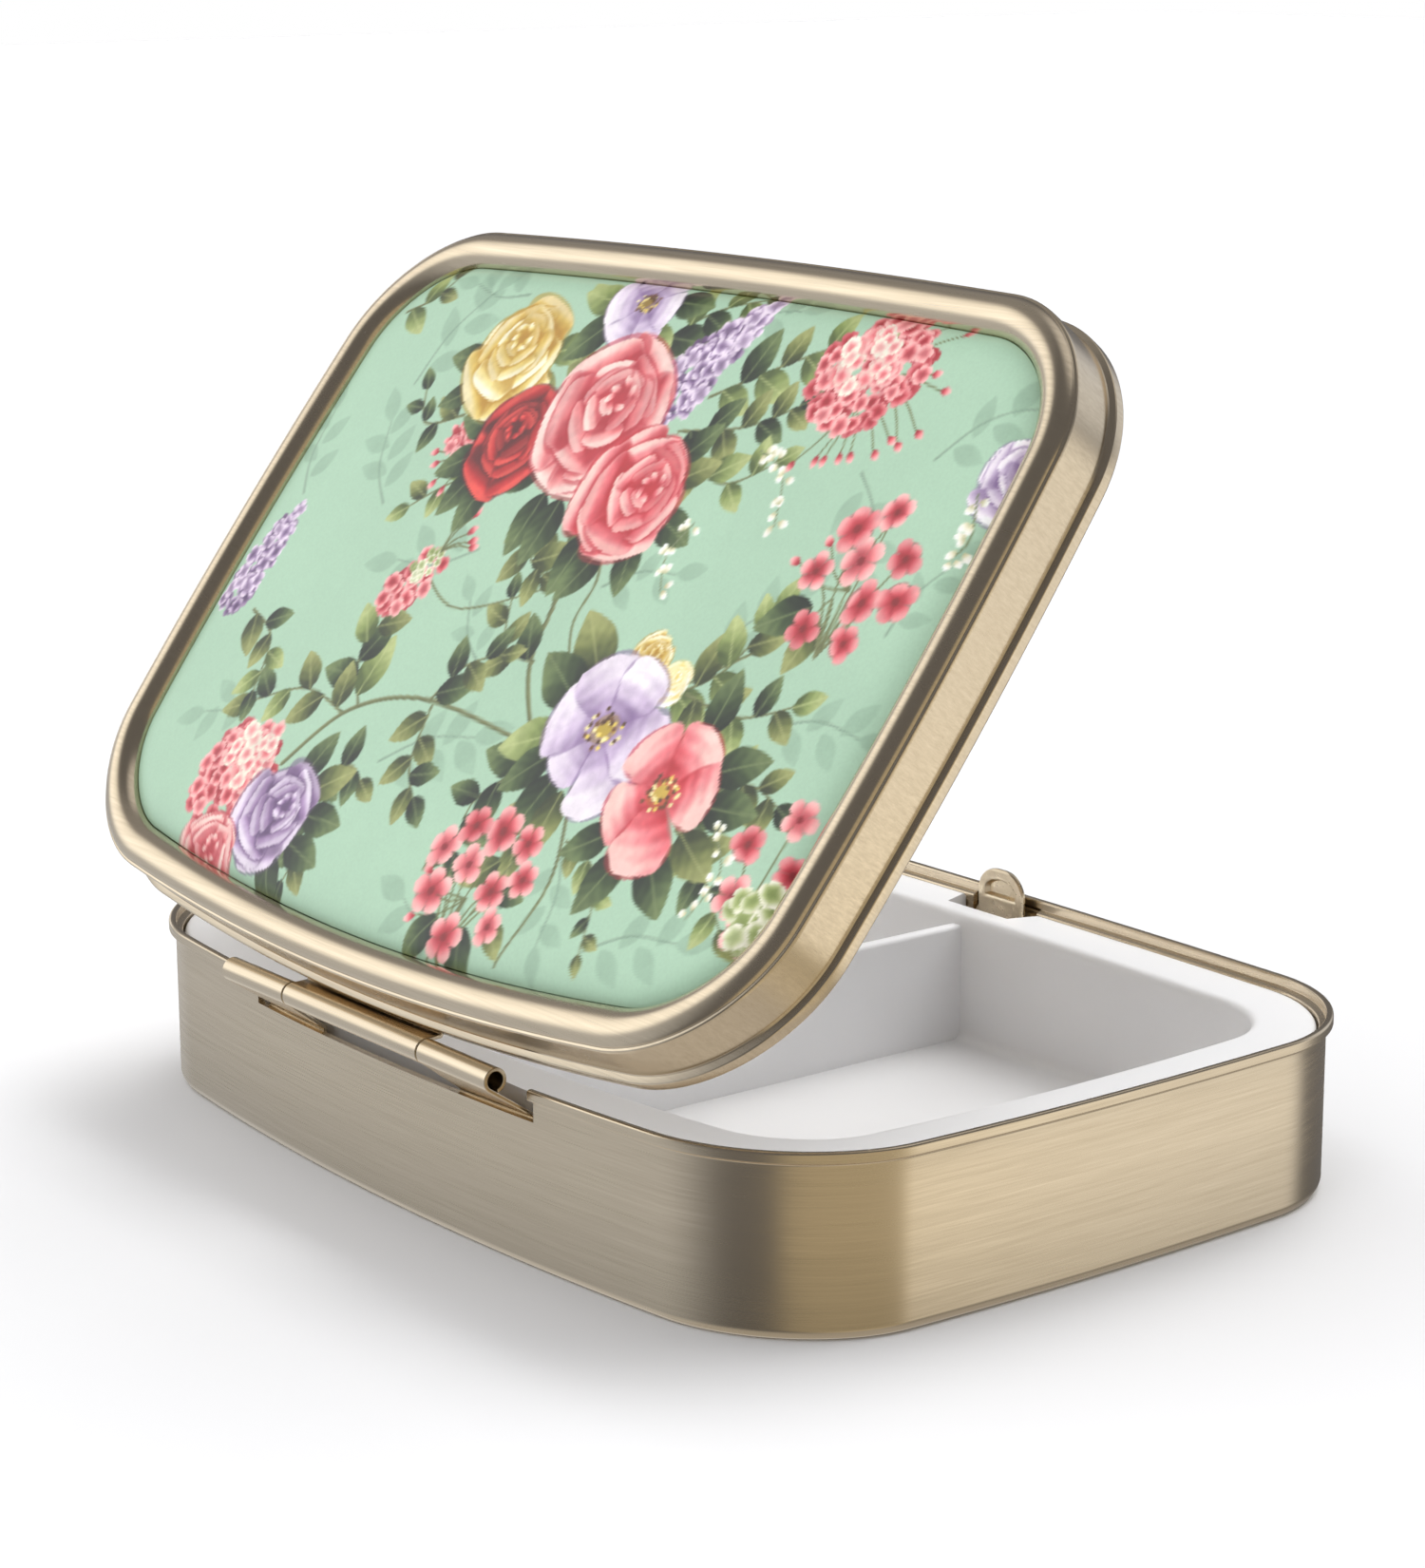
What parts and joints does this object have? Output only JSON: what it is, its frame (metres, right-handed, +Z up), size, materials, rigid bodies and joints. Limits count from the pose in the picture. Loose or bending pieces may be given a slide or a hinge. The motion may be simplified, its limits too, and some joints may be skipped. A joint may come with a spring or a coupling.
{
  "type": "hinged pill box",
  "caption": "Flat rectangular metal pill box with a sprung push latch, a rolled rear hinge, a divided white insert and a domed picture set in its lid.",
  "frame": {"origin": "centre of the pan's flat underside", "axes": "+X along the hinge, +Y towards the hinge wall, -Y towards the latch, +Z up out of the open pan"},
  "size_m": [0.0708, 0.0539, 0.054],
  "materials": {
    "base_shell": "brushed, champagne plated",
    "tray_insert": "white, satin",
    "base_hinge_leaf": "satin, champagne plated",
    "hinge_pin": "drawn wire",
    "latch_spring": "satin, champagne plated",
    "push_button": "satin, champagne plated",
    "lid_shell": "brushed, champagne plated",
    "lid_hinge_leaf": "satin, champagne plated",
    "lid_catch": "plain",
    "picture_sheet": "printed floral sheet on a mint ground",
    "picture_dome": "clear domed resin"
  },
  "bodies": {
    "base": {"base_shell": "base_shell", "tray_insert": "tray_insert", "base_hinge_leaf": "base_hinge_leaf", "hinge_pin": "hinge_pin"},
    "lid": {"lid_shell": "lid_shell", "lid_hinge_leaf": "lid_hinge_leaf", "lid_catch": "lid_catch", "picture_sheet": "picture_sheet", "picture_dome": "picture_dome"},
    "latch": {"latch_spring": "latch_spring", "push_button": "push_button"}
  },
  "joints": [
    {"name": "lid_hinge", "type": "hinge", "parent": "base", "child": "lid", "pos_m": [0, 0.02625, 0.01145], "axis": [-1, 0, 0], "range_deg": [-52.5, 127.5]},
    {"name": "latch_flex", "type": "hinge", "parent": "base", "child": "latch", "pos_m": [0, -0.02415, 0.0015], "axis": [-1, 0, 0], "range_deg": [0, 4.5], "stiffness_Nm_per_rad": 0.2}
  ]
}
